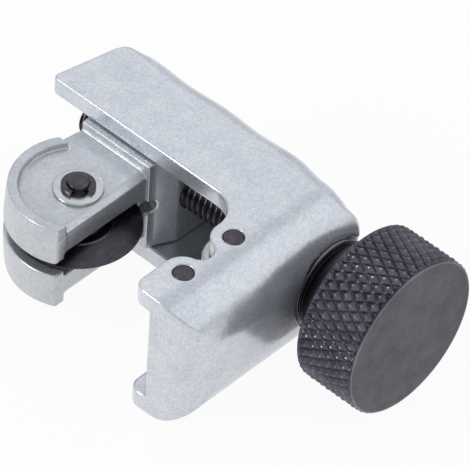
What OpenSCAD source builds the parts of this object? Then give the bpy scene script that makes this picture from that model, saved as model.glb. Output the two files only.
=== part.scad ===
/* [Jaw] */
// Distance between the centres of the two rollers
roller_spacing = 9.65; // [9.4:0.05:9.7]
// Diameter of each roller
roller_d = 8.2; // [7.6:0.1:8.6]
// Length of each roller
roller_len = 15.6; // [14.8:0.1:15.8]
// Chamfer on each end of a roller
roller_chamfer = 0.3; // [0.1:0.1:0.6]
// Diameter of the pins that the rollers turn on
roller_pin_d = 3; // [2.4:0.1:3.2]
// Depth of a roller pin's end under the face of the plate
pin_recess = 0.1; // [0.1:0.1:0.4]
// Radius of the plates round each roller pin
nose_r = 3.15; // [2.8:0.05:3.4]
// Radius of the valley in the plates between the two pins
valley_r = 1.9; // [1.7:0.1:2.2]
// Distance from the middle of the jaw to the front wall
jaw_front = 11.2; // [11:0.1:12]
// Distance from the roller pins to the straight edge beside them
jaw_edge = 3.1; // [2.8:0.1:3.15]
// Radius at the front corner of the jaw on the tube's side
jaw_corner_r = 1.9; // [1:0.1:2]
// Thickness of the wall that closes the front of the roller pocket
front_wall = 1.9; // [1.6:0.1:2.1]
// Depth of the roller pocket behind the roller pins
pocket_depth = 4.5; // [4.3:0.1:5]

/* [Body] */
// Thickness of the upper and lower plates
plate_t = 3; // [2.5:0.1:3.5]
// Space between the upper and lower plates
plate_gap = 16; // [15.9:0.1:17]
// Reach of the arm's tip beyond the roller pins
arm_reach = 38.6; // [34:0.1:42]
// How far the arm's end slants back across its width
arm_slant = 2.8; // [0.5:0.1:4]
// Distance from the middle of the jaw to the arm's front edge
arm_front = 9.6; // [9.4:0.1:10.2]
// Radius where the arm's front edge turns into the jaw
throat_r = 4.4; // [3.5:0.1:4.5]
// Distance from the middle of the jaw to the back of the body
body_back = 23.4; // [23:0.1:24.2]
// Thickness of the back wall
back_wall = 2.6; // [2:0.1:2.7]
// Radius along the back edges
back_edge_r = 2.6; // [1.5:0.1:2.8]
// Radius of the arm's back corner at the tip
tip_corner_r = 4; // [1:0.1:4.2]
// Distance from the roller pins to the end face by the knob
end_reach = 8.1; // [7.9:0.1:9]
// Radius from the plates over to the end face
end_round_r = 7.8; // [4:0.1:8]
// Radius of the end's front corner
end_front_r = 6; // [3:0.1:7]
// Radius of the end's back corner
end_back_r = 2; // [1:0.1:6.5]
// Distance from the roller pins back to the closed end of the channel
channel_end = 4; // [3.9:0.1:5]
// Depth of the round seat cut into the end face for the knob's washer
seat_depth = 0.85; // [0.5:0.05:1.2]
// Radius of the round seat
seat_r = 7.1; // [6.9:0.1:7.6]
// Length of one of the shallow finger hollows along the back
hollow_len = 12.8; // [6:0.1:13]
// Depth of a finger hollow
hollow_depth = 0.3; // [0.1:0.05:0.6]
// Distance from the roller pins to the first finger hollow
hollow_start = 5.5; // [5:0.1:12]
// How much narrower the body is at its knob end than along the arm
end_narrowing = 0.9; // [0.2:0.1:1.2]

/* [Feed screw and knob] */
// Distance from the screw's axis to the back of the body
screw_back = 7; // [6.7:0.1:7.2]
// Outer diameter of the screw
screw_d = 6; // [5:0.1:6]
// Reach of the screw's free end beyond the roller pins
screw_reach = 37.2; // [34:0.1:38]
// Chamfer on the screw's free end
screw_chamfer = 0.6; // [0.3:0.1:1]
// Depth of the retaining ring's groove
groove_depth = 0.3; // [0.2:0.05:0.5]
// Outer diameter of the retaining ring
ring_d = 8.2; // [7.4:0.1:8.2]
// Thickness of the retaining ring
ring_t = 0.7; // [0.5:0.1:1]
// Width of the gap in the retaining ring
ring_gap = 2; // [1.5:0.1:3]
// Outer diameter of the washer under the knob
thrust_d = 13.4; // [12.5:0.1:13.6]
// Thickness of the washer under the knob
thrust_t = 0.5; // [0.3:0.1:0.8]
// Diameter of the knurled rim of the knob
knob_d = 24; // [22.5:0.5:26]
// Width of the knurled rim of the knob
rim_w = 9.4; // [7:0.1:12]
// Chamfer on both edges of the knurled rim
rim_chamfer = 0.3; // [0.1:0.1:0.4]
// Distance between two points of the knurl round the rim
knurl_pitch = 1.64; // [1.5:0.02:2.6]
// Distance between two points of the knurl along the rim
knurl_length = 2.77; // [2.4:0.01:4]
// Depth of the knurl's grooves
knurl_depth = 0.5; // [0.4:0.05:0.6]
// Diameter of the knob's neck at the washer
neck_d = 12; // [10:0.1:12.4]
// Length of the short straight neck
neck_len = 0.4; // [0.3:0.1:1]
// Length of the cone from the neck to the rim
cone_len = 4.25; // [3:0.05:6]
// Diameter of the cone where it meets the rim
cone_d = 22; // [20:0.1:22]
// Depth of the screw's seat in the knob
knob_bore_len = 10; // [8:0.5:12]

/* [Carriage] */
// Distance between the wheel's axis and the roller pins
wheel_x = 23.9; // [23:0.1:25]
// Outer radius of the round ears
ear_r = 9.9; // [9.8:0.1:10.4]
// Distance from the wheel's axis to the ears' straight edge
ear_front = 4.85; // [4.5:0.05:5.5]
// Height of the ears' flat faces above the middle
ear_z = 6.2; // [5.6:0.1:6.4]
// Height of the raised rims above the middle
rim_z = 7; // [6.6:0.1:7.2]
// Width of the raised rims
rib_w = 1.55; // [1.2:0.05:1.7]
// Distance from the wheel's axis back to the squared end of the rims
rib_end = 4.8; // [4:0.1:6]
// Distance from the ears' straight edge to the notch that ends the rims
rib_notch = 0.5; // [0.5:0.05:1.2]
// Height of the ears' inner faces above the middle
ear_gap_z = 2.05; // [1.95:0.05:2.3]
// Half width of the slot that the wheel turns in
slot_z = 1.1; // [0.9:0.05:1.3]
// Radius of the slot that the wheel turns in, to the bottom of its rounded end
slot_r = 11.4; // [10.9:0.1:11.6]
// Height of the sliding block's faces above the middle
block_z = 7.75; // [7.6:0.05:7.8]
// Distance from the middle of the jaw to the block's step
block_front = 8.7; // [8.6:0.1:9]
// Distance from the wheel's axis to the block's end face
block_reach = 6.7; // [6:0.1:7.5]
// Distance from the wheel's axis to the block's other end face
block_tail = 7.8; // [7:0.1:8.2]
// Distance from the wheel's axis to the ears' rear corner
ear_tail = 8.4; // [8:0.1:8.6]
// Distance from the middle of the jaw back to the start of the block's slant
slant_start = 9.4; // [9:0.1:10]
// Distance from the middle of the jaw back to the end of the block's slant
slant_end = 13.2; // [12.5:0.1:13.6]
// Distance between the block and the channel's back wall
block_back_gap = 0.3; // [0.2:0.05:0.6]

/* [Wheel and axle] */
// Diameter of the cutting wheel
wheel_d = 18; // [16:0.1:18.4]
// Half thickness of the wheel's flat web
web_z = 0.8; // [0.5:0.05:0.85]
// Half thickness of the wheel's sharp edge
edge_z = 0.05; // [0.02:0.01:0.15]
// Radius at which the wheel's bevel starts
bevel_r = 6.4; // [5.5:0.1:7]
// Diameter of the wheel's raised hub
hub_d = 7; // [5:0.1:9]
// Half thickness of the wheel's raised hub
hub_z = 1.9; // [1.6:0.05:1.9]
// Diameter of the axle
axle_d = 3; // [2.5:0.1:3.2]
// Height of the axle's top above the middle
axle_top = 8.1; // [7.8:0.1:8.2]
// Chamfer on the axle's top
axle_chamfer = 0.3; // [0.1:0.1:0.5]
// Diameter of the axle's head
axle_head_d = 5; // [4.5:0.1:6]
// Thickness of the axle's head
axle_head_t = 1; // [0.6:0.1:1.4]
// Diameter of the washer on the ear
washer_d = 7; // [6:0.1:8]
// Thickness of the washer on the ear
washer_t = 0.5; // [0.3:0.1:0.7]
// Outer diameter of the clip on the axle
clip_d = 4.8; // [4.4:0.1:6]
// Thickness of the clip on the axle
clip_t = 0.6; // [0.4:0.1:0.7]
// Depth of the clip's groove in the axle
clip_groove = 0.35; // [0.2:0.05:0.5]
// Width of the clip's mouth
clip_mouth = 1.9; // [1.5:0.1:2.2]
// Direction in which the clip's mouth points
clip_turn = -36; // [-180:1:180]

/* [Fits] */
// Radial clearance of everything that turns
play = 0.05; // [0.02:0.01:0.08]
// End clearance of the screw's washer and retaining ring
end_play = 0.1; // [0.05:0.01:0.15]
// Extra reach of a cut past the face that it leaves by
past = 1; // [0.5:0.1:2]

/* [Hidden] */
$fn = 64;

// Steps in a rounded corner of an outline
corner_steps = 12;
// Steps along one finger hollow
hollow_steps = 14;
right_angle = 90;
full_turn = 360;

half_gap = plate_gap / 2;
body_z = half_gap + plate_t;
pin_y = roller_spacing / 2;
screw_r = screw_d / 2;
channel_back = body_back - back_wall;
screw_y = body_back - screw_back;
pocket_y = jaw_front - front_wall;
// The valley's circle touches both circles round the pins
valley_x = sqrt(pow(nose_r + valley_r, 2) - pow(pin_y, 2));
valley_angle = atan2(pin_y, valley_x);
seat_x = end_reach - seat_depth;
thrust_x = seat_x + end_play;
knob_x = thrust_x + thrust_t;
rim_x = knob_x + neck_len + cone_len;
face_x = rim_x + rim_chamfer + rim_w;
ring_x = -channel_end - end_play - ring_t;
// Points round the rim and half steps along it, as many as fit at the knurl's two distances
knurl_points = round(PI * knob_d / knurl_pitch);
knurl_rows = round(2 * (rim_chamfer + rim_w) / knurl_length);
// As many finger hollows as fit between their start and the tip's rounded corner
hollows = floor((arm_reach - arm_slant - tip_corner_r - hollow_start) / hollow_len);
rib_r = ear_r - rib_w;

// The part's origin is under the middle of its outline, on the surface that it lies on
middle_x = (face_x - arm_reach) / 2;
middle_y = (screw_y + knob_d / 2 - jaw_front) / 2;

steel = [0.72, 0.72, 0.74];
black = [0.20, 0.19, 0.22];
alloy = [0.76, 0.78, 0.81];

// Everything is drawn round the middle of the jaw, then moved to the part's origin
module placed() {
    translate([-middle_x, -middle_y, knob_d / 2])
        children();
}

// Points of an arc about a centre, from one angle to another
function arc(centre, r, from, to) = [
    for (i = [0 : corner_steps])
        let (a = from + (to - from) * i / corner_steps)
            [centre[0] + r * cos(a), centre[1] + r * sin(a)]
];

function unit(v) = v / norm(v);

// Points that round the corner b of the path a, b, c with a radius
function corner(a, b, c, r) =
    let (
        u = unit(a - b),
        v = unit(c - b),
        half = acos(u * v) / 2,
        centre = b + unit(u + v) * r / sin(half),
        start = b + u * r / tan(half) - centre,
        end = b + v * r / tan(half) - centre,
        from = atan2(start[1], start[0]),
        turn = atan2(end[1], end[0]) - from,
        sweep = turn > full_turn / 2 ? turn - full_turn : turn < -full_turn / 2 ? turn + full_turn : turn
    )
    arc(centre, r, from, from + sweep);

// Puts a child that stands on Z along the screw, starting at x
module on_screw(x) {
    translate([x, screw_y, 0])
        rotate([0, right_angle, 0])
            children();
}

// Puts a child that stands on Z on one of the roller pins
module on_pin(side) {
    translate([0, side * pin_y, 0])
        children();
}

// Puts a child on the axis of the cutting wheel
module on_wheel() {
    translate([-wheel_x, 0, 0])
        children();
}

// A ring or a disc that stands on the height z
module disc(outer_r, inner_r, z, thickness) {
    translate([0, 0, z])
        linear_extrude(thickness)
            difference() {
                circle(r = outer_r);
                if (inner_r > 0) circle(r = inner_r);
            }
}

// A box that reaches half_height above and below the middle
module slab(from, to, half_height) {
    translate([from[0], from[1], -half_height])
        cube([to[0] - from[0], to[1] - from[1], 2 * half_height]);
}

// Height of a wave that rises from 0 to 1 and falls again over one length
function wave(s) = (1 - cos(full_turn * s)) / 2;

// Back edge of the body: its rise from the narrower end, then the finger hollows along the arm
function back_points() = [
    for (i = [-hollow_steps / 2 : hollows * hollow_steps])
        let (s = i / hollow_steps)
            [-hollow_start - s * hollow_len, body_back - (i < 0 ? end_narrowing : hollow_depth) * wave(s)]
];

// Outline of both plates seen from above
module body_outline() {
    tip_front = [-arm_reach, arm_front];
    tip_back = [arm_slant - arm_reach, body_back];
    throat = [-nose_r, arm_front];
    jaw_tip = [-jaw_edge, -jaw_front];
    end_front = [end_reach, -jaw_front];
    end_back = [end_reach, body_back - end_narrowing];
    edge_angle = acos(jaw_edge / nose_r);
    polygon(concat(
        [tip_front],
        corner(tip_front, throat, [-nose_r, pin_y], throat_r),
        arc([0, pin_y], nose_r, full_turn / 2, full_turn / 2 + valley_angle),
        arc([-valley_x, 0], valley_r, valley_angle, -valley_angle),
        arc([0, -pin_y], nose_r, full_turn / 2 - valley_angle, full_turn / 2 + edge_angle),
        corner([-jaw_edge, -pin_y], jaw_tip, end_front, jaw_corner_r),
        corner(jaw_tip, end_front, end_back, end_front_r),
        corner(end_front, end_back, [tip_back[0], end_back[1]], end_back_r),
        back_points(),
        corner([end_reach, body_back], tip_back, tip_front, tip_corner_r)
    ));
}

// Side view of the body, rounded over both plates at the knob end
module side_profile() {
    lower = [end_reach, -body_z];
    upper = [end_reach, body_z];
    tip_low = [-arm_reach, -body_z];
    tip_high = [-arm_reach, body_z];
    polygon(concat(
        [tip_high, tip_low],
        corner(tip_low, lower, upper, end_round_r),
        corner(lower, upper, tip_high, end_round_r)
    ));
}

// End view of the body, rounded along both back edges
module end_profile() {
    lower = [body_back, -body_z];
    upper = [body_back, body_z];
    front_low = [-jaw_front, -body_z];
    front_high = [-jaw_front, body_z];
    polygon(concat(
        [front_high, front_low],
        corner(front_low, lower, upper, back_edge_r),
        corner(lower, upper, front_high, back_edge_r)
    ));
}

module body_solid() {
    intersection() {
        translate([0, 0, -body_z])
            linear_extrude(2 * body_z)
                body_outline();
        translate([0, body_back, 0])
            rotate([right_angle, 0, 0])
                linear_extrude(body_back + jaw_front)
                    side_profile();
        translate([-arm_reach, 0, 0])
            rotate([right_angle, 0, right_angle])
                linear_extrude(arm_reach + end_reach)
                    end_profile();
    }
}

// Die-cast body: two plates joined by a back wall, a front wall and a solid knob end
module body_casting() {
    color(alloy)
        placed()
            difference() {
                body_solid();
                // Channel that the carriage slides in, open at the front and at the tip
                slab([-arm_reach - past, 0], [-channel_end, channel_back], half_gap);
                // Pocket round the rollers, open towards the wheel
                slab([-nose_r - past, -pocket_y], [pocket_depth, pocket_y], half_gap);
                // Opening of the pocket round the end of the front wall
                slab([-nose_r - past, -jaw_front - past], [0, 0], half_gap);
                // Round seat for the knob's washer
                on_screw(seat_x)
                    cylinder(r = seat_r, h = seat_depth + past);
                on_screw(-channel_end - past)
                    cylinder(r = screw_r + play, h = channel_end + seat_x + 2 * past);
                for (side = [-1, 1])
                    on_pin(side)
                        translate([0, 0, -body_z - past])
                            cylinder(d = roller_pin_d, h = 2 * (body_z + past));
            }
}

module roller_pin(side) {
    color(black)
        placed()
            on_pin(side)
                disc(roller_pin_d / 2, 0, pin_recess - body_z, 2 * (body_z - pin_recess));
}

module roller(side) {
    r = roller_d / 2;
    half = roller_len / 2;
    inner = roller_pin_d / 2 + play;
    color(steel)
        placed()
            on_pin(side)
                rotate_extrude()
                    polygon([
                        [inner, -half],
                        [r - roller_chamfer, -half],
                        [r, roller_chamfer - half],
                        [r, half - roller_chamfer],
                        [r - roller_chamfer, half],
                        [inner, half]
                    ]);
}

module roller_pin_back() {
    roller_pin(1);
}

module roller_pin_front() {
    roller_pin(-1);
}

module roller_back() {
    roller(1);
}

module roller_front() {
    roller(-1);
}

// Limits of the ears seen from above, round the wheel's axis
module ear_limits() {
    far = -ear_r - past;
    polygon([
        [far, far],
        [ear_front, far],
        [ear_front, block_front],
        [-block_tail, block_front],
        [-ear_tail, rib_end],
        [far, rib_end]
    ]);
}

module ear_outline() {
    intersection() {
        ear_limits();
        union() {
            circle(r = ear_r);
            translate([-ear_tail, 0])
                square([ear_tail + ear_front, block_front]);
        }
    }
}

// Ring of the raised rims and of the skirts under them, cut off at x = to_x
module rib_outline(to_x) {
    far = ear_r + past;
    intersection() {
        difference() {
            circle(r = ear_r);
            circle(r = rib_r);
        }
        translate([-far, -far])
            square([far + to_x, far + rib_end]);
    }
}

// Sliding block seen from above, with its slanted corner beside the wheel
module block_outline() {
    block_back = channel_back - block_back_gap;
    polygon([
        [-block_tail, block_front],
        [ear_front, block_front],
        [ear_front, slant_start],
        [block_reach, slant_end],
        [block_reach, block_back],
        [-block_tail, block_back]
    ]);
}

// Raises a flat child evenly above and below the middle
module both_ways(half_height) {
    translate([0, 0, -half_height])
        linear_extrude(2 * half_height)
            children();
}

// Slot that the wheel turns in, with a rounded end
module wheel_slot() {
    flat_r = slot_r - slot_z;
    both_ways(slot_z) circle(r = flat_r);
    rotate_extrude()
        translate([flat_r, 0])
            circle(r = slot_z);
}

// Die-cast carriage: two ears round the wheel on a block that the screw moves
module carriage_casting() {
    color(alloy)
        placed()
            difference() {
                on_wheel()
                    difference() {
                        union() {
                            both_ways(ear_z) ear_outline();
                            both_ways(rim_z) rib_outline(ear_front - rib_notch);
                            both_ways(block_z) block_outline();
                        }
                        both_ways(ear_gap_z) circle(r = rib_r);
                        wheel_slot();
                        both_ways(rim_z) circle(d = axle_d);
                    }
                on_screw(-wheel_x - block_tail - past)
                    cylinder(r = screw_r + play, h = block_tail + block_reach + 2 * past);
            }
}

// Cutting wheel: a raised hub, a flat web and a bevel on each side of the sharp edge
module cutter_wheel() {
    inner = axle_d / 2 + play;
    color(black)
        placed()
            on_wheel()
                rotate_extrude()
                    polygon([
                        [inner, -hub_z],
                        [hub_d / 2, -hub_z],
                        [hub_d / 2, -web_z],
                        [bevel_r, -web_z],
                        [wheel_d / 2, -edge_z],
                        [wheel_d / 2, edge_z],
                        [bevel_r, web_z],
                        [hub_d / 2, web_z],
                        [hub_d / 2, hub_z],
                        [inner, hub_z]
                    ]);
}

// Axle with a head under the lower ear and a groove for the clip over the upper one
module wheel_axle() {
    r = axle_d / 2;
    clip_z = ear_z + washer_t;
    color(black)
        placed()
            on_wheel()
                rotate_extrude()
                    polygon([
                        [0, -ear_z - axle_head_t],
                        [axle_head_d / 2, -ear_z - axle_head_t],
                        [axle_head_d / 2, -ear_z],
                        [r, -ear_z],
                        [r, clip_z],
                        [r - clip_groove, clip_z],
                        [r - clip_groove, clip_z + clip_t],
                        [r, clip_z + clip_t],
                        [r, axle_top - axle_chamfer],
                        [r - axle_chamfer, axle_top],
                        [0, axle_top]
                    ]);
}

module axle_washer() {
    color(steel)
        placed()
            on_wheel()
                disc(washer_d / 2, axle_d / 2, ear_z, washer_t);
}

// Flat ring with a mouth as wide as mouth, which points along +X
module open_ring(outer_r, inner_r, thickness, mouth) {
    linear_extrude(thickness)
        difference() {
            circle(r = outer_r);
            circle(r = inner_r);
            translate([0, -mouth / 2])
                square([outer_r + past, mouth]);
        }
}

module axle_clip() {
    color(black)
        placed()
            on_wheel()
                translate([0, 0, ear_z + washer_t])
                    rotate([0, 0, clip_turn])
                        open_ring(clip_d / 2, axle_d / 2 - clip_groove, clip_t, clip_mouth);
}

// Feed screw: drawn at its thread's outer diameter, seated in the knob at one end
module feed_screw() {
    groove_r = screw_r - groove_depth;
    ring_start = ring_x + screw_reach;
    screw_len = screw_reach + knob_x + knob_bore_len;
    color(black)
        placed()
            on_screw(-screw_reach)
                rotate_extrude()
                    polygon([
                        [0, 0],
                        [screw_r - screw_chamfer, 0],
                        [screw_r, screw_chamfer],
                        [screw_r, ring_start],
                        [groove_r, ring_start],
                        [groove_r, ring_start + ring_t],
                        [screw_r, ring_start + ring_t],
                        [screw_r, screw_len],
                        [0, screw_len]
                    ]);
}

// Ring that keeps the screw from being pushed out of the body
module retaining_ring() {
    color(steel)
        placed()
            on_screw(ring_x)
                open_ring(ring_d / 2, screw_r - groove_depth, ring_t, ring_gap);
}

module thrust_washer() {
    color(steel)
        placed()
            on_screw(thrust_x)
                disc(thrust_d / 2, screw_r + play, 0, thrust_t);
}

// Knurled rim of a height: its rings have points and groove crossings by turns, so that two
// sets of straight grooves cross and leave a pyramid in each diamond between them
module knurled_rim(height) {
    columns = 2 * knurl_points;
    r = knob_d / 2;
    // Radius of a point in a ring: low at a crossing, and chamfered in the two outer rings
    function ring_r(i, j) =
        (i + j) % 2 == 0 ? r - knurl_depth : (j == 0 || j == knurl_rows) ? r - rim_chamfer : r;
    points = [
        for (j = [0 : knurl_rows], i = [0 : columns - 1])
            let (a = full_turn * i / columns)
                [ring_r(i, j) * cos(a), ring_r(i, j) * sin(a), height * j / knurl_rows]
    ];
    // Each four-sided field is split along the groove that crosses it
    sides = [
        for (j = [0 : knurl_rows - 1], i = [0 : columns - 1])
            let (
                next = (i + 1) % columns,
                low = [j * columns + i, j * columns + next],
                high = [low[0] + columns, low[1] + columns]
            )
            each (i + j) % 2 == 0
                ? [[low[0], high[1], low[1]], [low[0], high[0], high[1]]]
                : [[low[0], high[0], low[1]], [low[1], high[0], high[1]]]
    ];
    bottom = [for (i = [0 : columns - 1]) i];
    top = [for (i = [columns - 1 : -1 : 0]) knurl_rows * columns + i];
    polyhedron(points, concat([bottom], [top], sides));
}

// Knob: a neck, a cone and a knurled rim, with a blind seat for the screw
module knob() {
    rim_start = neck_len + cone_len;
    color(black)
        placed()
            on_screw(knob_x)
                difference() {
                    union() {
                        rotate_extrude()
                            polygon([
                                [0, 0],
                                [neck_d / 2, 0],
                                [neck_d / 2, neck_len],
                                [cone_d / 2, rim_start],
                                [cone_d / 2, rim_start + rim_chamfer],
                                [0, rim_start + rim_chamfer]
                            ]);
                        translate([0, 0, rim_start])
                            knurled_rim(rim_chamfer + rim_w);
                    }
                    translate([0, 0, -past])
                        cylinder(r = screw_r, h = past + knob_bore_len);
                }
}

body_casting();
roller_pin_back();
roller_pin_front();
roller_back();
roller_front();
carriage_casting();
cutter_wheel();
wheel_axle();
axle_washer();
axle_clip();
feed_screw();
retaining_ring();
thrust_washer();
knob();
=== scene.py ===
"""Tube cutter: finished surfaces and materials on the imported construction."""
import itertools
import math

import bmesh
import bpy
import numpy as np
from mathutils import Matrix, Vector


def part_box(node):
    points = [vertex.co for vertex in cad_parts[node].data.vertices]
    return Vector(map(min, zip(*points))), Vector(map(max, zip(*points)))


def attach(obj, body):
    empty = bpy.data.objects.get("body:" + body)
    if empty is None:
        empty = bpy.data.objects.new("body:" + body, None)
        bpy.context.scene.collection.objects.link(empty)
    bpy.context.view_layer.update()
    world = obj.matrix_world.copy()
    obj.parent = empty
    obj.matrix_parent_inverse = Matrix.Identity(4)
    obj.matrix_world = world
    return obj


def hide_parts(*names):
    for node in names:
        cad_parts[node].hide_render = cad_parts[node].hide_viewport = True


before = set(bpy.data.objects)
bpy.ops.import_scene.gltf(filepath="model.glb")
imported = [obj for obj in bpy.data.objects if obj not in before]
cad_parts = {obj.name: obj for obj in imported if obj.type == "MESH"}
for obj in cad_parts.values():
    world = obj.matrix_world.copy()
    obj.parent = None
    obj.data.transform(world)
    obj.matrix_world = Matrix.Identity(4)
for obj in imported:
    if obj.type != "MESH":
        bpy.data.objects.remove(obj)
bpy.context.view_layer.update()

MM = 0.001
TURN = 2 * math.pi
X_AXIS = (1, 0, 0)
Z_AXIS = (0, 0, 1)


def middle(node):
    """Middle of a node's box, in metres."""
    low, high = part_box(node)
    return (low + high) / 2


# Middle of the jaw, midway between the two roller pins: castings are worked out round it
JAW = (middle("roller_pin_back") + middle("roller_pin_front")) / 2


def span(node):
    """Lowest and highest corners of a node in millimetres, measured from the middle of the jaw."""
    low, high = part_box(node)
    return np.array(low - JAW) / MM, np.array(high - JAW) / MM


def size(node):
    """Size of a node along each axis, in millimetres."""
    low, high = span(node)
    return high - low


def place(node):
    """Middle of a node in millimetres, measured from the middle of the jaw."""
    return span(node)[0] + size(node) / 2


def axis_zero(node, axis):
    """Point on a node's own axis at which that axis is zero, in metres."""
    centre = middle(node)
    centre[axis.index(1)] = 0
    return centre


# Materials
def srgb(hex_colour):
    """Linear colour, at full alpha, of an sRGB hex value."""
    channels = [int(hex_colour[i:i + 2], 16) / 255 for i in (0, 2, 4)]
    linear = [c / 12.92 if c <= 0.04045 else ((c + 0.055) / 1.055) ** 2.4 for c in channels]
    return (*linear, 1.0)


def add_node(tree, kind, settings=None, inputs=None):
    """Adds a node, sets its properties, and gives inputs, by name or number, a value or a link."""
    node = tree.nodes.new(kind)
    for key, value in (settings or {}).items():
        setattr(node, key, value)
    for key, value in (inputs or {}).items():
        if isinstance(value, bpy.types.NodeSocket):
            tree.links.new(value, node.inputs[key])
        else:
            node.inputs[key].default_value = value
    return node


# Nearly all of a noise's values lie between these two
NOISE_LOW = 0.3
NOISE_HIGH = 0.7

# How many finer layers a noise has, and how strong each is beside the one before it
NOISE_DETAIL = 3.0
RIPPLE_DETAIL = 1.0
PATCH_ROUGHNESS = 0.6
GRAIN_ROUGHNESS = 0.7

# A Mix node's colour sockets by their number, because its sockets share their names
MIX_A = 6
MIX_B = 7
MIX_RESULT = 2


def metal_colour(tree, point, tones, patch_mm, crystal_mm, speckle, wear_and_painted_light):
    """Colour that drifts between two tones in patches. A speckle gives each small crystal a tone
    of its own, up to that share lighter or darker, and the last argument names a mesh's attribute
    that multiplies the colour, with painted shade and painted highlight as well as wear in it."""
    patches = add_node(tree, "ShaderNodeTexNoise", None, {
        "Vector": point, "Scale": 1 / (patch_mm * MM), "Detail": NOISE_DETAIL,
        "Roughness": PATCH_ROUGHNESS})
    share = add_node(tree, "ShaderNodeMapRange", None, {
        "Value": patches.outputs["Fac"], "From Min": NOISE_LOW, "From Max": NOISE_HIGH})
    colour = add_node(tree, "ShaderNodeMix", {"data_type": "RGBA"}, {
        "Factor": share.outputs["Result"], MIX_A: srgb(tones[0]),
        MIX_B: srgb(tones[1])}).outputs[MIX_RESULT]
    if speckle:
        crystals = add_node(tree, "ShaderNodeTexVoronoi", None, {
            "Vector": point, "Scale": 1 / (crystal_mm * MM)})
        speckles = add_node(tree, "ShaderNodeMapRange", None, {
            "Value": crystals.outputs["Color"], "To Min": 1 - speckle, "To Max": 1 + speckle})
        colour = add_node(tree, "ShaderNodeVectorMath", {"operation": "SCALE"}, {
            0: colour, "Scale": speckles.outputs["Result"]}).outputs[0]
    # The attribute carries painted shade and painted highlight as well as wear
    if wear_and_painted_light:
        painted_light_and_wear = add_node(tree, "ShaderNodeAttribute", {"attribute_name": wear_and_painted_light})
        colour = add_node(tree, "ShaderNodeVectorMath", {"operation": "SCALE"}, {
            0: colour, "Scale": painted_light_and_wear.outputs["Fac"]}).outputs[0]
    return colour


def metal(name, tones, patch_mm, grain_mm, grain_depth_mm, gloss, speckle=None, ripple_mm=None,
          ripple_depth_mm=None, wear_and_painted_light=None, metallic=1.0):
    """Metal with a patchy colour and a grain that breaks up its gloss and stands out by its depth.
    A speckle's crystals are as large as the grain, and ripples are longer waves under it."""
    material = bpy.data.materials.new(name)
    material.use_nodes = True
    tree = material.node_tree
    shader = tree.nodes["Principled BSDF"]
    point = add_node(tree, "ShaderNodeTexCoord").outputs["Object"]
    colour = metal_colour(tree, point, tones, patch_mm, grain_mm, speckle, wear_and_painted_light)
    grain = add_node(tree, "ShaderNodeTexNoise", None, {
        "Vector": point, "Scale": 1 / (grain_mm * MM), "Detail": NOISE_DETAIL,
        "Roughness": GRAIN_ROUGHNESS})
    rough = add_node(tree, "ShaderNodeMapRange", None, {
        "Value": grain.outputs["Fac"], "From Min": NOISE_LOW, "From Max": NOISE_HIGH,
        "To Min": gloss[0], "To Max": gloss[1]})
    relief = add_node(tree, "ShaderNodeBump", None, {
        "Height": grain.outputs["Fac"], "Distance": grain_depth_mm * MM})
    if ripple_mm:
        ripples = add_node(tree, "ShaderNodeTexNoise", None, {
            "Vector": point, "Scale": 1 / (ripple_mm * MM), "Detail": RIPPLE_DETAIL})
        relief = add_node(tree, "ShaderNodeBump", None, {
            "Height": ripples.outputs["Fac"], "Distance": ripple_depth_mm * MM,
            "Normal": relief.outputs["Normal"]})
    tree.links.new(colour, shader.inputs["Base Color"])
    tree.links.new(rough.outputs["Result"], shader.inputs["Roughness"])
    tree.links.new(relief.outputs["Normal"], shader.inputs["Normal"])
    shader.inputs["Metallic"].default_value = metallic
    return material


# Zinc alloy, die cast and tumbled: pale and satin, cloudy where the skin chilled unevenly, with a
# fine speckle and slow ripples that bend its reflections. Its thin oxide scatters a part of the
# light, so it is less than wholly metallic. The speckle is drawn coarser than the real crystals
DIE_CAST_ZINC = metal(
    "die_cast_zinc", ("CACED5", "D7DADF"), patch_mm=4.0, grain_mm=0.28, grain_depth_mm=0.004,
    gloss=(0.2, 0.28), speckle=0.13, ripple_mm=4.0, ripple_depth_mm=0.09, metallic=0.7)

# The carriage's casting: the same alloy with a duller skin, its tones painted greyer to stand for
# shade
DULL_SHADED_CAST_ZINC = metal(
    "dull_shaded_cast_zinc", ("BDC1C6", "CACCD0"), patch_mm=4.0, grain_mm=0.28, grain_depth_mm=0.006,
    gloss=(0.27, 0.34), speckle=0.13, ripple_mm=4.0, ripple_depth_mm=0.07, metallic=0.7)

# Steel, turned and ground: bright and glossy, with a faint even grain
GROUND_STEEL = metal(
    "ground_steel", ("A3A09E", "BAB7B5"), patch_mm=3.0, grain_mm=0.25, grain_depth_mm=0.003,
    gloss=(0.12, 0.2))

# Steel with a dull zinc plating: pale silver, soft and slightly uneven
ZINC_PLATED_STEEL = metal(
    "zinc_plated_steel", ("C2C3C6", "D2D2D2"), patch_mm=1.5, grain_mm=0.4, grain_depth_mm=0.002,
    gloss=(0.24, 0.32))

# Spring steel, oiled: grey with a faint brown cast and a low sheen, its tone partly painted shade
# of the recess that it sits in
OILED_SHADED_STEEL = metal(
    "oiled_spring_steel_painted_shade", ("6E6C6A", "838180"), patch_mm=1.5, grain_mm=0.4, grain_depth_mm=0.005,
    gloss=(0.2, 0.32))

# Hardened steel with a black oxide skin: dark, faintly purple, with a soft sheen and speckle
BLACK_OXIDE_STEEL = metal(
    "black_oxide_steel", ("4A474C", "5C585E"), patch_mm=1.2, grain_mm=0.28, grain_depth_mm=0.004,
    gloss=(0.26, 0.36), speckle=0.1)

# Blackened knob: soft black; the knurl's grooves are darkened with painted shade and its points
# drawn pale, partly rubbed and partly a painted highlight
BLACKENED_STEEL = metal(
    "blackened_knurled_steel", ("424047", "56545B"), patch_mm=3.5, grain_mm=0.28,
    grain_depth_mm=0.004, gloss=(0.24, 0.34), speckle=0.16, wear_and_painted_light="wear_and_painted_light")


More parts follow.
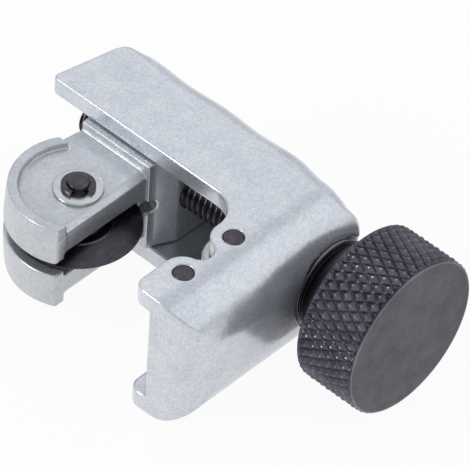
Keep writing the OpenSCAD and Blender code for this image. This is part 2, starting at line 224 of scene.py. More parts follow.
# Shapes
def new_piece(name, mesh, material):
    """Object for a finished mesh."""
    mesh.materials.append(material)
    piece = bpy.data.objects.new(name, mesh)
    bpy.context.scene.collection.objects.link(piece)
    return piece


def fitted(piece, node, body):
    """Puts a finished piece in the place of its node."""
    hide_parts(node)
    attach(piece, body)


def both(a, b, r=0.0):
    """Overlap of two distances, with an arc of radius r along its outer edge: the length of the
    pair (a + r, b + r), less r, where both are above -r, and otherwise the greater one."""
    return np.minimum(np.maximum(a, b), -r) + np.hypot(np.maximum(a + r, 0), np.maximum(b + r, 0))


def either(a, b, r=0.0):
    """Two distances joined, with an arc of radius r in the inner corner between them."""
    return -both(-a, -b, r)


def without(a, b, r=0.0):
    """The first distance with the second cut away, and an arc of radius r along the cut's edge."""
    return both(a, -b, r)


def beyond(start, end, x, y):
    """Distance to the right of the line from the start to the end, with x to the right and y up."""
    run, rise = end[0] - start[0], end[1] - start[1]
    return ((x - start[0]) * rise - (y - start[1]) * run) / math.hypot(run, rise)


def ease(value, start, end):
    """Rises from 0 at the start to 1 at the end, as 3 t squared less 2 t cubed."""
    t = np.clip((value - start) / (end - start), 0, 1)
    return t * t * (3 - 2 * t)


# Finest step of a casting's grid, in millimetres
FINE_CELL = 0.16


def grid_lines(low, high, marks, coarse):
    """Lines from low to high, closer together near the marks: each step is a third of the way
    to the nearest mark, but at least the finest step and at most the coarse one."""
    lines = [low]
    while lines[-1] < high:
        away = min(abs(lines[-1] - mark) for mark in marks)
        lines.append(lines[-1] + min(max(away / 3, FINE_CELL), coarse))
    return np.array(lines)


def box_lines(low, high, marks, coarse):
    """Lines along the three axes, a little past both corners of a box."""
    sides = zip(low, high, marks)
    return [grid_lines(start - coarse, end + coarse, near, coarse) for start, end, near in sides]


# Short step over which a distance's slope is measured, in millimetres
SLOPE_STEP = 0.01


def slope(distance, points):
    """Slope of a distance at points: its change over a short step each way along each axis."""
    steps = np.eye(3) * SLOPE_STEP
    pairs = [distance(*(points + s).T) - distance(*(points - s).T) for s in steps]
    return np.stack(pairs, -1) / (2 * SLOPE_STEP)


# How often a cast surface's points are moved, and the least slope squared that a move trusts
MOVES = 3
LEAST_STEEPNESS = 0.25


def edge_crossings(grid, value, axis):
    """For each grid edge along an axis: whether the surface crosses it, the point where it does,
    in the ratio of the distances at both ends, and whether the edge starts inside the surface."""
    count = value.shape[axis] - 1
    near, far = (np.take(value, range(a, count + a), axis) for a in (0, 1))
    start, end = (np.take(grid, range(a, count + a), axis) for a in (0, 1))
    crossed = (near < 0) != (far < 0)
    share = np.where(crossed, near / np.where(crossed, near - far, 1), 0)[..., None]
    point = np.where(crossed[..., None], start + (end - start) * share, 0)
    return crossed, point, near < 0


def cell_points(edges, cells):
    """One point for each cell that the surface crosses, which is the mean of the crossings on the
    cell's edges, and a grid with the number of each cell's point."""
    total, count = np.zeros((*cells, 3)), np.zeros(cells)
    for axis, (crossed, point, _) in enumerate(edges):
        others = [a for a in range(3) if a != axis]
        for shift in itertools.product((0, 1), repeat=2):
            part = [slice(None)] * 3
            for other, s in zip(others, shift):
                part[other] = slice(s, cells[other] + s)
            total += point[tuple(part)]
            count += crossed[tuple(part)]
    used = count > 0
    return total[used] / count[used][:, None], np.cumsum(used).reshape(cells) - 1


def cell_faces(edges, number):
    """One outward face for each grid edge that the surface crosses, between the points of the four
    cells round the edge."""
    faces = []
    for axis, (crossed, _, inside) in enumerate(edges):
        second, third = (axis + 1) % 3, (axis + 2) % 3
        edge = np.argwhere(crossed)
        around = []
        for back_second, back_third in ((1, 1), (0, 1), (0, 0), (1, 0)):
            cell = edge.copy()
            cell[:, second] -= back_second
            cell[:, third] -= back_third
            around.append(number[tuple(cell.T)])
        face = np.stack(around, -1)
        faces.append(np.where(inside[tuple(edge.T)][:, None], face, face[:, ::-1]))
    return np.concatenate(faces)


def settled(distance, points):
    """Points moved onto the surface, each by its distance along the slope, a few times over."""
    for _ in range(MOVES):
        lean = slope(distance, points)
        steepness = np.maximum((lean ** 2).sum(-1), LEAST_STEEPNESS)
        points = points - lean * (distance(*points.T) / steepness)[:, None]
    return points


def cast_surface(name, distance, lines, material):
    """Surface where a distance is zero, found on a grid of lines, with normals along its slope."""
    grid = np.stack(np.meshgrid(*lines, indexing="ij"), -1)
    value = np.broadcast_to(distance(*np.ix_(*lines)), grid.shape[:3])
    edges = [edge_crossings(grid, value, axis) for axis in range(3)]
    points, number = cell_points(edges, tuple(n - 1 for n in value.shape))
    points = settled(distance, points)
    mesh = bpy.data.meshes.new(name)
    mesh.from_pydata(points * MM + np.array(JAW), [], cell_faces(edges, number))
    mesh.shade_smooth()
    lean = slope(distance, points)
    mesh.normals_split_custom_set_from_vertices(lean / np.linalg.norm(lean, axis=-1, keepdims=True))
    return new_piece(name, mesh, material)


# Faces that meet at a greater angle than this have a sharp edge between them
SHARP = math.radians(35)

# Points closer than this are merged, in metres
MERGE_DISTANCE = 1e-7


def closed_piece(name, mesh, material):
    """Object for a mesh whose doubles are merged and whose faces are turned outwards, shaded
    smooth but for its sharp edges."""
    work = bmesh.new()
    work.from_mesh(mesh)
    bmesh.ops.remove_doubles(work, verts=work.verts, dist=MERGE_DISTANCE)
    bmesh.ops.recalc_face_normals(work, faces=work.faces)
    work.to_mesh(mesh)
    work.free()
    mesh.shade_smooth()
    mesh.set_sharp_from_angle(angle=SHARP)
    return new_piece(name, mesh, material)


def ring_quads(rings, count):
    """Quads that join each ring of points to the next, all rings with the same count of points."""
    index = np.arange(rings * count).reshape(rings, count)
    here, there = index[:-1], index[1:]
    return np.stack([here, np.roll(here, -1, 1), np.roll(there, -1, 1), there], -1).reshape(-1, 4)


def ringed_piece(name, points, material, wear_and_painted_light=None):
    """Object for rings of points in metres, as a grid, with each point's tone of wear, painted
    shade and painted highlight as an attribute where it is given."""
    rings, count = points.shape[:2]
    mesh = bpy.data.meshes.new(name)
    mesh.from_pydata(points.reshape(-1, 3), [], ring_quads(rings, count))
    if wear_and_painted_light is not None:
        values = np.broadcast_to(wear_and_painted_light, (rings, count)).astype(np.float32).ravel()
        mesh.attributes.new("wear_and_painted_light", "FLOAT", "POINT").data.foreach_set("value", values)
    return closed_piece(name, mesh, material)


# Straight pieces in an arc, the greatest share of a side that an arc takes up, and the turn in
# radians below which a corner is left as it is
ARC_STEPS = 5
SIDE_SHARE = 0.45
LEAST_TURN = 0.04


def arc(before, corner, after, radius):
    """Points of the arc that touches both sides of a corner, where the corner turns enough."""
    into, away = before - corner, after - corner
    into_length, away_length = np.linalg.norm(into), np.linalg.norm(away)
    into, away = into / into_length, away / away_length
    half = math.acos(np.clip(into @ away, -1, 1)) / 2
    if 2 * half > math.pi - LEAST_TURN:
        return [corner]
    reach = min(radius / math.tan(half), into_length * SIDE_SHARE, away_length * SIDE_SHARE)
    centre = corner + (into + away) / np.linalg.norm(into + away) * reach / math.cos(half)
    start, end = corner + into * reach - centre, corner + away * reach - centre
    angle = math.acos(np.clip(start @ end / (start @ start), -1, 1))
    shares = np.linspace(0, 1, ARC_STEPS + 1)
    weights = [(math.sin((1 - s) * angle), math.sin(s * angle)) for s in shares]
    return [centre + (start * a + end * b) / math.sin(angle) for a, b in weights]


def rounded(points, radius):
    """Path through the points with each corner between its ends turned into an arc of the radius,
    or of less where a side is short."""
    points = [np.array(p, float) for p in points]
    path = [points[0]]
    for before, corner, after in zip(points, points[1:], points[2:]):
        path.extend(arc(before, corner, after, radius))
    return np.array([*path, points[-1]])


def carried_round(along, radius, angles, axis, centre):
    """Points at a distance along the axis and a radius from it, for each angle round it."""
    along, radius, angles = np.broadcast_arrays(along, radius, angles)
    across, up = radius * np.cos(angles), radius * np.sin(angles)
    order = (along, across, up) if axis == X_AXIS else (across, up, along)
    return np.stack(order, -1) * MM + np.array(centre)


# Points round a small turned piece
ROUND_STEPS = 96


def turned(name, profile, axis, centre, material, edge, steps=ROUND_STEPS, closed=False):
    """Surface of revolution: the profile (along, radius), its corners rounded to the edge's
    radius, carried once round the axis. A closed profile runs back to its first point."""
    path = rounded([*profile, profile[0], profile[1]] if closed else profile, edge)
    if closed:
        path = path[1:-1]
    angles = np.arange(steps) / steps * TURN
    points = carried_round(path[:, :1], path[:, 1:], angles[None, :], axis, centre)
    return ringed_piece(name, points, material)


# Play of a pin or a screw in its bore, and the radii of cast edges, cast inner corners and the
# edges of bores, in millimetres
PLAY = 0.05
CAST_EDGE = 0.35
CAST_FILLET = 0.6
BORE_EDGE = 0.2

# Body casting: sizes and places in millimetres from the middle of the jaw, the overall ones from
# the frame
BODY_CELL = 0.8
EDGE_BLEND = 2.0
BODY_LOW, BODY_HIGH = span("body_casting")
BODY_Z = BODY_HIGH[2]
PLATE_T = 3.0
ARM_FRONT = 9.6
ARM_SLANT = 2.8
THROAT_R = 4.4
TIP_FRONT_R = 1.0
TIP_CORNER_R = 4.0
NOSE_R = 3.15
VALLEY_R = 1.9
JAW_CORNER_R = 1.9
FRONT_WALL = 1.9
BACK_WALL = 2.6
POCKET_DEPTH = 4.5
CHANNEL_END = -4.0
BACK_EDGE_R = 2.6
END_ROUND_R = 7.8
END_FRONT_R = 6.0
END_BACK_R = 2.0
END_NARROWING = 0.9
SEAT_DEPTH = 0.85
SEAT_R = 7.1
HOLLOWS = 2
HOLLOW_START = 5.5
HOLLOW_LEN = 12.8
HOLLOW_DEPTH = 0.3
PIN_Y = place("roller_pin_back")[1]
PIN_R = size("roller_pin_back")[0] / 2
SCREW_Y = place("feed_screw")[1]
SCREW_R = size("feed_screw")[1] / 2
SCREW_BORE_R = SCREW_R + PLAY
POCKET_Y = -BODY_LOW[1] - FRONT_WALL
CHANNEL_BACK = BODY_HIGH[1] - BACK_WALL
SEAT_X = BODY_HIGH[0] - SEAT_DEPTH


def jaw_edge(x, y):
    """Distance to the jaw's edge: circles round both pins, joined by the valley's circle, which
    touches both, and a straight edge past each pin."""
    side = np.abs(y)
    valley_x = -math.sqrt((NOSE_R + VALLEY_R) ** 2 - PIN_Y ** 2)
    nose = np.hypot(x, side - PIN_Y) - NOSE_R
    valley = VALLEY_R - np.hypot(x - valley_x, side)
    between = np.where(beyond((valley_x, 0), (0, PIN_Y), x, side) > 0, valley, nose)
    return np.where(side > PIN_Y, -NOSE_R - x, between)


def back_line(x):
    """Back edge: a rise from the narrower knob end, then waves of one length along the arm."""
    s = np.clip((-HOLLOW_START - x) / HOLLOW_LEN, -0.5, HOLLOWS)
    depth = np.where(s < 0, END_NARROWING, HOLLOW_DEPTH)
    return BODY_HIGH[1] - depth * (1 - np.cos(TURN * s)) / 2


def tip_line(x, y):
    """Distance to the arm's slanted end."""
    return -beyond((BODY_LOW[0], ARM_FRONT), (BODY_LOW[0] + ARM_SLANT, BODY_HIGH[1]), x, y)


def body_plan(x, y):
    """Distance to the outline of both plates, seen from above."""
    plan = either(ARM_FRONT - y, jaw_edge(x, y), THROAT_R)
    plan = both(plan, BODY_LOW[1] - y, JAW_CORNER_R)
    plan = both(plan, tip_line(x, y), TIP_FRONT_R)
    plan = both(plan, x - BODY_HIGH[0], END_FRONT_R)
    return both(plan, y - back_line(x), np.where(x < CHANNEL_END, TIP_CORNER_R, END_BACK_R))


def body_edge_r(x, y):
    """Radius of the plates' outer edge: full along the back, from where the back is nearer than
    the tip or the arm's front, small elsewhere, and fading out towards the knob's end face."""
    nearer = y - back_line(x) - np.maximum(tip_line(x, y), ARM_FRONT - y)
    full = CAST_EDGE + (BACK_EDGE_R - CAST_EDGE) * ease(nearer, -EDGE_BLEND, EDGE_BLEND)
    return full * (1 - ease(x, POCKET_DEPTH, BODY_HIGH[0]))


def body_distance(x, y, z):
    """Distance to the body: its plan, rounded over at the knob end and along the back, less the
    channel, the roller pocket and its mouth, the knob's seat and the bores."""
    height = np.abs(z)
    side = both(height - BODY_Z, x - BODY_HIGH[0], END_ROUND_R)
    metal_here = both(body_plan(x, y), side, body_edge_r(x, y))
    inner = height - (BODY_Z - PLATE_T)
    channel = both(inner, y - CHANNEL_BACK, CAST_FILLET)
    channel = both(channel, both(x - CHANNEL_END, -y), CAST_FILLET)
    pocket = both(inner, np.abs(y) - POCKET_Y, CAST_FILLET)
    pocket = both(pocket, x - POCKET_DEPTH, CAST_FILLET)
    mouth = both(inner, both(x, y), CAST_EDGE)
    from_screw = np.hypot(y - SCREW_Y, z)
    seat = both(SEAT_X - x, from_screw - SEAT_R, CAST_EDGE)
    screw_bore = both(from_screw - SCREW_BORE_R, CHANNEL_END - CAST_EDGE - x)
    pin_bores = np.hypot(x, np.abs(y) - PIN_Y) - PIN_R
    metal_here = without(metal_here, np.minimum(np.minimum(channel, pocket), mouth), CAST_EDGE)
    metal_here = without(metal_here, seat, CAST_EDGE)
    metal_here = without(metal_here, screw_bore, BORE_EDGE)
    return without(metal_here, pin_bores, BORE_EDGE)


def body_shell():
    """Body: both plates with their walls and the solid knob end, as one cast surface."""
    marks = (
        (BODY_LOW[0], BODY_LOW[0] + ARM_SLANT, CHANNEL_END, -NOSE_R, -PIN_R, 0, PIN_R, POCKET_DEPTH,
         SEAT_X, BODY_HIGH[0]),
        (BODY_LOW[1], -POCKET_Y, -PIN_Y - PIN_R, PIN_R - PIN_Y, 0, PIN_Y - PIN_R, PIN_Y + PIN_R,
         POCKET_Y, ARM_FRONT, SCREW_Y - SCREW_R, SCREW_Y + SCREW_R, CHANNEL_BACK, BODY_HIGH[1]),
        (-BODY_Z, PLATE_T - BODY_Z, -SCREW_R, SCREW_R, BODY_Z - PLATE_T, BODY_Z),
    )
    lines = box_lines(BODY_LOW, BODY_HIGH, marks, BODY_CELL)
    piece = cast_surface("body_shell", body_distance, lines, DIE_CAST_ZINC)
    fitted(piece, "body_casting", "frame")


# Carriage casting: sizes in millimetres, and places from the wheel's axis and the middle plane.
# EAR_RIM_R and SKIRT_R are the inner radii of the ears' rims and of the skirts under them
CARRIAGE_CELL = 0.45
CARRIAGE_LOW, CARRIAGE_HIGH = span("carriage_casting")
WHEEL_X = place("cutter_wheel")[0]
EAR_R = 9.9
EAR_FRONT = 4.55
BEVEL_WIDTH = 1.0
BEVEL_DROP = 0.7
SKIRT_DRAFT = 0.06
EAR_Z = 6.2
EAR_TAIL = 8.4
EAR_RIM_Z = 7.15
EAR_RIM_R = 8.1
SKIRT_R = 8.35
EAR_RIM_END = 4.8
BLOCK_RIGHT = 4.85
BLOCK_FRONT = 8.7
BLOCK_TAIL = 7.8
SLANT_START = 9.4
SLANT_END = 13.2
EAR_GAP_Z = 2.05
SLOT_Z = 1.1
SLOT_R = 11.4
EAR_EDGE = 0.22
NECK_FILLET = 0.3
AXLE_R = 1.5


def ears_distance(x, y, height):
    """Distance to both ears: a disc with a slightly tapered side, drawn out into a neck, with a
    straight bevelled front, a slanted tail and a raised rim."""
    radius = np.hypot(x, y)
    disc = radius - EAR_R + SKIRT_DRAFT * np.maximum(height - EAR_GAP_Z, 0)
    neck = both(-EAR_TAIL - x, both(-y, y - SLANT_END))
    slanted = -beyond((-EAR_TAIL, EAR_RIM_END), (-BLOCK_TAIL, BLOCK_FRONT), x, y)
    tail = np.minimum(y - EAR_RIM_END, slanted)
    ear = both(both(np.minimum(disc, neck), x - EAR_FRONT, CAST_EDGE), tail, EAR_EDGE)
    bevel = beyond((EAR_FRONT, EAR_Z - BEVEL_DROP), (EAR_FRONT - BEVEL_WIDTH, EAR_Z), x, height)
    ear = both(ear, both(height - EAR_Z, bevel, EAR_EDGE), EAR_EDGE)
    rim = both(both(disc, EAR_RIM_R - radius), both(y - EAR_RIM_END, x - EAR_FRONT), EAR_EDGE)
    return either(ear, both(rim, height - EAR_RIM_Z, EAR_EDGE), EAR_EDGE)


def block_distance(x, y, height):
    """Distance to the sliding block: a box whose right side slants out to its full width."""
    high = CARRIAGE_HIGH - (WHEEL_X, 0, 0)
    slant = beyond((BLOCK_RIGHT, SLANT_START), (high[0], SLANT_END), x, y)
    right = both(either(x - BLOCK_RIGHT, slant, NECK_FILLET), x - high[0], BORE_EDGE)
    block = both(both(right, -BLOCK_TAIL - x), both(BLOCK_FRONT - y, y - high[1]), BORE_EDGE)
    return both(block, height - high[2], BORE_EDGE)


def carriage_distance(x, y, z):
    """Distance to the carriage: its ears and its block, joined by a fillet at the ears' top, less
    the space between the ears, the wheel's slot with its rounded end, and the bores."""
    x = x - WHEEL_X
    height, radius = np.abs(z), np.hypot(x, y)
    fillet = CAST_EDGE * ease(height, EAR_Z - CAST_EDGE, EAR_Z)
    metal_here = either(ears_distance(x, y, height), block_distance(x, y, height), fillet)
    gap = both(radius - SKIRT_R, height - EAR_GAP_Z, CAST_EDGE)
    slot = np.hypot(np.maximum(radius - (SLOT_R - SLOT_Z), 0), z) - SLOT_Z
    metal_here = without(metal_here, np.minimum(gap, slot), CAST_EDGE)
    metal_here = without(metal_here, radius - AXLE_R, BORE_EDGE)
    return without(metal_here, np.hypot(y - SCREW_Y, z) - SCREW_BORE_R, BORE_EDGE)


def carriage_shell():
    """Carriage: both ears and the sliding block, as one cast surface."""
    from_wheel = (-EAR_R, -EAR_TAIL, -BLOCK_TAIL, EAR_FRONT, BLOCK_RIGHT)
    marks = (
        [*(WHEEL_X + x for x in from_wheel), CARRIAGE_HIGH[0]],
        (-EAR_R, -SKIRT_R, -EAR_RIM_R, EAR_RIM_END, BLOCK_FRONT, SLANT_START, SLANT_END,
         SCREW_Y - SCREW_R, SCREW_Y + SCREW_R, CARRIAGE_HIGH[1]),
        (CARRIAGE_LOW[2], -EAR_RIM_Z, -EAR_Z, -EAR_GAP_Z, -SLOT_Z, SLOT_Z, EAR_GAP_Z, EAR_Z,
         EAR_RIM_Z, CARRIAGE_HIGH[2]),
    )
    lines = box_lines(CARRIAGE_LOW, CARRIAGE_HIGH, marks, CARRIAGE_CELL)
    piece = cast_surface("carriage_shell", carriage_distance, lines, DULL_SHADED_CAST_ZINC)
    fitted(piece, "carriage_casting", "carriage")


body_shell()
carriage_shell()


# Rollers and their pins, in millimetres
ROLLER_CHAMFER = 0.3
PIN_CHAMFER = 0.2
GROUND_EDGE = 0.08


def chamfered(node, chamfer, bore=0.0):
    """Profile of an upright bar that fills its node: a chamfer at each end, and a bore if it has
    one."""
    half, r = size(node)[2] / 2, size(node)[0] / 2
    upper = [(half - chamfer, r), (half, r - chamfer), (half, bore)]
    return [(-z, radius) for z, radius in upper[::-1]] + upper


def roller(side):
    """Ground roller: straight wall, a small chamfer at each end and a bore right through."""
    node = f"roller_{side}"
    profile = chamfered(node, ROLLER_CHAMFER, PIN_R + PLAY)
    piece = turned(f"ground_roller_{side}", profile, Z_AXIS, middle(node), GROUND_STEEL,
                   GROUND_EDGE, closed=True)
    fitted(piece, node, node)


def roller_pin(side):
    """Pressed pin: plain shank with a small chamfer round each end."""
    node = f"roller_pin_{side}"
    profile = chamfered(node, PIN_CHAMFER)
    piece = turned(f"pressed_pin_{side}", profile, Z_AXIS, middle(node), BLACK_OXIDE_STEEL,
                   GROUND_EDGE)
    fitted(piece, node, "frame")


for side in ("back", "front"):
    roller(side)
    roller_pin(side)


# Cutting wheel, in millimetres
HUB_R = 3.5
WEB_Z = 0.8
WEB_R = 5.0
WEB_STEP = 0.15
WHEEL_EDGE = 0.04
WHEEL_STEPS = 160

# Axle, in millimetres
AXLE_EDGE = 0.12
AXLE_DOME = 0.12
AXLE_CHAMFER = 0.35
AXLE_HEAD_R = 2.5
AXLE_HEAD_T = 1.0
AXLE_HEAD_CHAMFER = 0.4
CLIP_GROOVE_R = 1.15

# Spring clip, in millimetres, with its grips' width and place and its mouth in radians
CLIP_R = 2.4
CLIP_BORE_R = 1.52
CLIP_EDGE = 0.1
CLIP_STEPS = 96
GRIP_HEIGHT = 0.34
GRIP_WIDTH = 0.28
GRIP_FROM_END = 0.2
MOUTH_TURN = math.radians(-36)
MOUTH_HALF = math.radians(37)

# Washers: the rounding of their edges in millimetres, and the points round them
WASHER_EDGE = 0.18
THRUST_EDGE = 0.15
WASHER_STEPS = 128


def cutting_wheel():
    """Wheel: hub ring, flat web with a low step round it, then a long bevel on each side down to
    the sharp edge."""
    half, r = size("cutter_wheel")[2] / 2, size("cutter_wheel")[0] / 2
    upper = [(half, AXLE_R + PLAY), (half, HUB_R), (WEB_Z, HUB_R + BORE_EDGE), (WEB_Z, WEB_R),
             (WEB_Z - WEB_STEP, WEB_R + BORE_EDGE), (WHEEL_EDGE, r)]
    profile = [(-z, radius) for z, radius in upper] + upper[::-1]
    piece = turned("hardened_wheel", profile, Z_AXIS, middle("cutter_wheel"), BLACK_OXIDE_STEEL,
                   AXLE_EDGE, WHEEL_STEPS, closed=True)
    fitted(piece, "cutter_wheel", "wheel")


def axle_pin():
    """Axle: domed head below, groove for the clip and a chamfered, slightly domed top."""
    bottom, top = (corner.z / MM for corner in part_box("wheel_axle"))
    groove_start, groove_end = (corner.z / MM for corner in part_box("axle_clip"))
    head_top = bottom + AXLE_HEAD_T
    head = [(bottom, 0), (bottom + AXLE_DOME, AXLE_HEAD_R - AXLE_HEAD_CHAMFER),
            (bottom + AXLE_HEAD_CHAMFER, AXLE_HEAD_R), (head_top, AXLE_HEAD_R), (head_top, AXLE_R)]
    groove = [(groove_start, AXLE_R), (groove_start, CLIP_GROOVE_R), (groove_end, CLIP_GROOVE_R),
              (groove_end, AXLE_R)]
    tip = [(top - AXLE_CHAMFER, AXLE_R), (top - AXLE_DOME, AXLE_R - AXLE_CHAMFER), (top, 0)]
    piece = turned("wheel_axle_pin", head + groove + tip, Z_AXIS, axis_zero("wheel_axle", Z_AXIS),
                   BLACK_OXIDE_STEEL, AXLE_EDGE)
    fitted(piece, "wheel_axle", "carriage")


def flat_washer(node, name, bore, axis, material, body, edge):
    """Stamped washer: flat faces and rolled edges."""
    half, r = size(node)[axis.index(1)] / 2, size(node)[1] / 2
    profile = [(-half, bore), (-half, r), (half, r), (half, bore)]
    piece = turned(name, profile, axis, middle(node), material, edge, WASHER_STEPS, closed=True)
    fitted(piece, node, body)


def clip():
    """Spring clip: an open ring with rounded edges. Three smooth bumps stand in from its bore and
    grip the axle: one opposite the mouth and one near each end."""
    bottom, top = (corner.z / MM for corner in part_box("axle_clip"))
    centre = axis_zero("wheel_axle", Z_AXIS)
    angles = np.linspace(MOUTH_HALF, TURN - MOUTH_HALF, CLIP_STEPS)
    grips = (math.pi, MOUTH_HALF + GRIP_FROM_END, TURN - MOUTH_HALF - GRIP_FROM_END)
    bumps = sum(np.exp(-((angles - g) / GRIP_WIDTH) ** 2) for g in grips)
    bore = CLIP_BORE_R - GRIP_HEIGHT * np.clip(bumps, 0, 1)
    section = [(bottom, bore + CLIP_EDGE), (bottom + CLIP_EDGE, bore), (top - CLIP_EDGE, bore),
               (top, bore + CLIP_EDGE), (top, CLIP_R - CLIP_EDGE), (top - CLIP_EDGE, CLIP_R),
               (bottom + CLIP_EDGE, CLIP_R), (bottom, CLIP_R - CLIP_EDGE)]
    corners = [carried_round(z, r, angles + MOUTH_TURN, Z_AXIS, centre) for z, r in section]
    count = len(section)
    quads = ring_quads(CLIP_STEPS, count).tolist()
    numbers = list(range(CLIP_STEPS * count))
    first_end, last_end = numbers[:count], numbers[-count:]
    mesh = bpy.data.meshes.new("spring_clip")
    mesh.from_pydata(np.stack(corners, 1).reshape(-1, 3), [], [*quads, first_end, last_end[::-1]])
    piece = closed_piece("spring_clip", mesh, BLACK_OXIDE_STEEL)
    fitted(piece, "axle_clip", "carriage")


cutting_wheel()
axle_pin()
flat_washer("axle_washer", "ear_washer", AXLE_R + PLAY, Z_AXIS, ZINC_PLATED_STEEL, "carriage",
            WASHER_EDGE)
clip()


# Feed screw, in millimetres, and how many steps its thread has along a turn and round it
SCREW_PITCH = 1.0
THREAD_DEPTH = 0.61
FLANK_STEEPNESS = 1.35
ROOT_FLAT = 0.12
THREAD_STEPS = 12
SCREW_STEPS = 64
SCREW_CHAMFER = 0.6

# Knob, in millimetres: its knurled rim, its neck and cone, and its blind bore
RIM_LENGTH = 9.7
RIM_CHAMFER = 0.3
NECK_R = 6.0
NECK_LENGTH = 0.4
CONE_R = 11.0
KNOB_BORE_DEPTH = 9.5
KNOB_BORE_R = SCREW_R - PLAY

# Knurl: points round the rim, rows of points along it, steps to each, and the distance in
# millimetres between two points along the rim
KNURL_ROUND = 46
KNURL_ROWS = 7
KNURL_FINE = 12
KNURL_LENGTH = 2 * RIM_LENGTH / KNURL_ROWS

# Depth of the knurl and the distance from the rim's ends over which it fades, in millimetres, and
# the share of its height at which its points are worn off
KNURL_DEPTH = 0.5
KNURL_FADE = 0.6
POINT_WORN = 0.92

# Tones that multiply the knob's colour: painted shade in the knurl's grooves, paler facets, and
# points and a face edge that are partly worn and partly a painted highlight. Then the shares of the
# knurl's height where its groove ends and its point starts
PAINTED_GROOVE_SHADE = 0.5
FACET_TONE = 1.6
POINT_WEAR_AND_PAINTED_GLINT = 4.0
EDGE_WEAR_AND_PAINTED_HIGHLIGHT = 2.6
GROOVE_TOP = 0.3
POINT_START = 0.85
# and the width in millimetres of the face's edge that is worn and carries a painted highlight
EDGE_WEAR_AND_HIGHLIGHT_WIDTH = 0.1


def thread_height(along, angles):
    """Height of a right-hand thread, from 0 in the root to 1 on the crest: a triangle wave along
    the helix, steepened and cut off flat at both ends."""
    phase = (along / SCREW_PITCH - angles / TURN) % 1
    return np.clip(FLANK_STEEPNESS * (1 - np.abs(2 * phase - 1)) - ROOT_FLAT, 0, 1)


def threaded_screw():
    """Feed screw: a thread from its chamfered free end up to the retaining ring, where it fades
    out over one turn, then a plain shank."""
    start, end = (corner.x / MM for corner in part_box("feed_screw"))
    thread_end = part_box("retaining_ring")[0].x / MM - SCREW_PITCH
    along = np.arange(start, thread_end, SCREW_PITCH / THREAD_STEPS)
    along = np.concatenate([[start, start], along, [thread_end, end, end]])[:, None]
    angles = (np.arange(SCREW_STEPS) / SCREW_STEPS * TURN)[None, :]
    fade = np.clip((thread_end - along) / SCREW_PITCH, 0, 1)
    radius = SCREW_R - THREAD_DEPTH * (1 - thread_height(along, angles)) * fade
    radius = np.minimum(radius, SCREW_R - SCREW_CHAMFER + (along - start))
    radius[[0, -1]] = 0
    points = carried_round(along, radius, angles, X_AXIS, axis_zero("feed_screw", X_AXIS))
    piece = ringed_piece("threaded_feed_screw", points, BLACK_OXIDE_STEEL)
    fitted(piece, "feed_screw", "screw")


def pyramid(along, angles):
    """Height of the diamond knurl: the lower of two crossing sets of V grooves, levelled off at
    1 where the points are worn. Grooves cross at the rim's start, straight below the axis."""
    turn, step = (angles / TURN + 1 / 4) * KNURL_ROUND, along / KNURL_LENGTH
    left = 1 - np.abs(2 * ((turn + step) % 1) - 1)
    right = 1 - np.abs(2 * ((turn - step) % 1) - 1)
    return np.minimum(np.minimum(left, right) / POINT_WORN, 1)


def knob_rings(start, end, r):
    """Places along the axis and radii of the knob's rings: its blind bore, neck and flared cone,
    then the rim in fine steps, and its flat face."""
    rim_start = end - RIM_LENGTH
    bore = [(start + KNOB_BORE_DEPTH, 0), (start + KNOB_BORE_DEPTH, KNOB_BORE_R)]
    flare = [(start, KNOB_BORE_R), (start, NECK_R), (start + NECK_LENGTH, NECK_R),
             (rim_start, CONE_R), (rim_start, r - RIM_CHAMFER)]
    back = rounded(bore + flare, CAST_EDGE)[:-1]
    rim = np.linspace(rim_start, end, KNURL_ROWS * KNURL_FINE + 1)
    face = np.array([(end, r - 2 * RIM_CHAMFER), (end, r / 2), (end, 0)])
    along = np.concatenate([back[:, 0], rim, face[:, 0]])[:, None]
    radius = np.concatenate([back[:, 1], np.full(len(rim), r), face[:, 1]])[:, None]
    return along, radius


def knurl_shade_and_wear(height):
    """Tone of the knurl: painted shade darkening its grooves, paler facets, and palest points that
    are partly worn and partly a painted highlight.
    """
    facets = PAINTED_GROOVE_SHADE + (FACET_TONE - PAINTED_GROOVE_SHADE) * ease(height, 0, GROOVE_TOP)
    return facets + (POINT_WEAR_AND_PAINTED_GLINT - FACET_TONE) * ease(height, POINT_START, 1)


def knurled_knob():
    """Knob: neck, flared cone and knurled rim, ending in a plain flat face. Its tone attribute is 1
    on its plain skin; on the rim it follows the knurl, with painted shade in the grooves and points
    that are partly worn and partly a painted highlight, and it is high along the face's edge,
    partly worn and partly a painted highlight."""
    start, end = (corner.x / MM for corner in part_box("knob"))
    r = size("knob")[1] / 2
    rim_start = end - RIM_LENGTH
    along, radius = knob_rings(start, end, r)
    columns = KNURL_ROUND * KNURL_FINE
    angles = (np.arange(columns) / columns * TURN)[None, :]
    on_rim = radius == r
    height = pyramid(along - rim_start, angles)
    edge = np.minimum(along - rim_start, end - along)
    cut = KNURL_DEPTH * (1 - height) * ease(edge, 0, KNURL_FADE)
    radius = np.where(on_rim, np.minimum(r - cut, r - RIM_CHAMFER + edge), radius)
    # Painted shade in the knurl's grooves; its points pale partly from wear and partly as a painted
    # highlight
    wear_and_painted_light = np.where(on_rim & (edge > RIM_CHAMFER), knurl_shade_and_wear(height), 1)
    # The face's edge: partly worn, partly a painted highlight
    wear_and_painted_light = np.where(on_rim & (end - along < EDGE_WEAR_AND_HIGHLIGHT_WIDTH), EDGE_WEAR_AND_PAINTED_HIGHLIGHT, wear_and_painted_light)
    points = carried_round(along, radius, angles, X_AXIS, axis_zero("knob", X_AXIS))
    piece = ringed_piece("knurled_knob", points, BLACKENED_STEEL, wear_and_painted_light)
    fitted(piece, "knob", "screw")


def plated_ring():
    """Retaining ring: it is hidden in the channel, so it keeps its own mesh under a plain metal."""
    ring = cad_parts["retaining_ring"]
    ring.data.materials.clear()
    ring.data.materials.append(ZINC_PLATED_STEEL)


threaded_screw()
